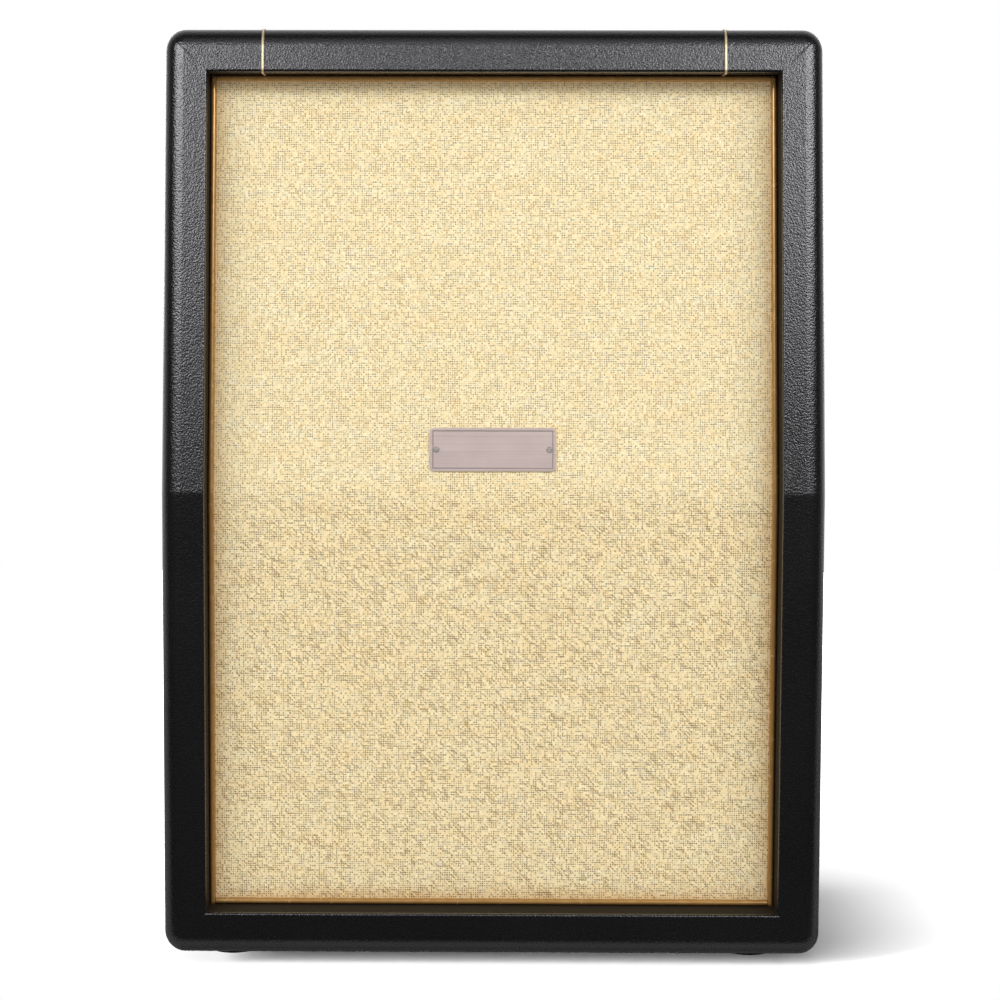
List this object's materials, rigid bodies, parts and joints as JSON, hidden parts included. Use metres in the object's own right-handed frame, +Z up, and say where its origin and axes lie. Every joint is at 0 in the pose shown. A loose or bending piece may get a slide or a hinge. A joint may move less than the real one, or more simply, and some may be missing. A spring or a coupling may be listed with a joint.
{
  "type": "guitar speaker cabinet",
  "caption": "Upright guitar speaker cabinet: vinyl-covered plywood box with a slanted upper front, recessed woven grille cloth, gold piping, side handles, rear jack and sprung cone drivers",
  "frame": {"origin": "middle of the footprint, on the floor under the feet", "axes": "+X to the right of someone who faces the front, -Y out of the front, +Z up"},
  "size_m": [0.5104, 0.3008, 0.7148],
  "materials": {
    "plywood": "bare birch plywood",
    "black_vinyl": "fine-grained leathercloth, satin",
    "gold_trim": "twisted gold piping, satin",
    "grille_cloth": "open woven cream cloth with brown slubs",
    "brushed_plate": "brushed, blank",
    "bright_pins": "nickel plated",
    "black_screws": "black oxide",
    "cup_washers": "nickel plated",
    "zinc_steel": "zinc plated",
    "black_rubber": "matt",
    "black_plastic": "moulded, fine texture",
    "black_steel": "black powder coat",
    "motor_steel": "zinc plated",
    "spring_brass": "bare",
    "ferrite": "ground",
    "cone_paper": "pressed pulp",
    "gasket_board": "pressed board",
    "surround_cloth": "doped, pleated",
    "spider_cloth": "resin-dipped, pleated",
    "copper_coil": "enamelled winding",
    "terminal_board": "phenolic board with solder tags"
  },
  "bodies": {
    "cabinet": {"back_covering": "black_vinyl", "back_cup_washers": "cup_washers", "back_panel": "plywood", "back_screws": "black_screws", "baffle_cleats": "plywood", "baffle_screws": "zinc_steel", "bottom_panel": "plywood", "cloth_piping": "gold_trim", "covering_body": "black_vinyl", "covering_top": "black_vinyl", "driver_bolts": "black_screws", "driver_tee_nuts": "zinc_steel", "feet": "black_rubber", "foot_screws": "zinc_steel", "front_batten_bottom": "plywood", "front_batten_left": "plywood", "front_batten_right": "plywood", "front_batten_top": "plywood", "front_plate": "brushed_plate", "grille_cloth": "grille_cloth", "handle_left": "black_plastic", "handle_right": "black_plastic", "handle_screws": "black_screws", "jack_dish": "black_steel", "jack_dish_screws": "black_screws", "jack_nut": "bright_pins", "jack_socket": "black_plastic", "left_side_panel": "plywood", "lower_back_plate": "motor_steel", "lower_baffle": "plywood", "lower_basket": "black_steel", "lower_gasket": "gasket_board", "lower_magnet": "ferrite", "lower_spider": "spider_cloth", "lower_surround": "surround_cloth", "lower_terminal_strip": "terminal_board", "lower_top_plate": "motor_steel", "plate_pins": "bright_pins", "rear_cleats": "plywood", "right_side_panel": "plywood", "top_beads": "gold_trim", "top_panel": "plywood", "upper_back_plate": "motor_steel", "upper_baffle": "plywood", "upper_basket": "black_steel", "upper_gasket": "gasket_board", "upper_magnet": "ferrite", "upper_spider": "spider_cloth", "upper_surround": "surround_cloth", "upper_terminal_strip": "terminal_board", "upper_top_plate": "motor_steel"},
    "lower_cone_assembly": {"lower_cone": "cone_paper", "lower_dust_cap": "cone_paper", "lower_voice_coil": "copper_coil"},
    "upper_cone_assembly": {"upper_cone": "cone_paper", "upper_dust_cap": "cone_paper", "upper_voice_coil": "copper_coil"},
    "tip_contact": {"jack_tip_contact": "spring_brass"}
  },
  "joints": [
    {"name": "lower_cone_slide", "type": "slide", "parent": "cabinet", "child": "lower_cone_assembly", "axis": [0, -1, 0], "range_m": [-0.003, 0.003], "stiffness_N_per_m": 6000, "deforming": ["lower_surround", "lower_spider"]},
    {"name": "upper_cone_slide", "type": "slide", "parent": "cabinet", "child": "upper_cone_assembly", "axis": [0, -0.9903, 0.1392], "range_m": [-0.003, 0.003], "stiffness_N_per_m": 6000, "deforming": ["upper_surround", "upper_spider"]},
    {"name": "tip_contact_hinge", "type": "hinge", "parent": "cabinet", "child": "tip_contact", "pos_m": [0, 0.1117, 0.35925], "axis": [-1, 0, 0], "range_deg": [0, 10], "stiffness_Nm_per_rad": 0.05}
  ]
}
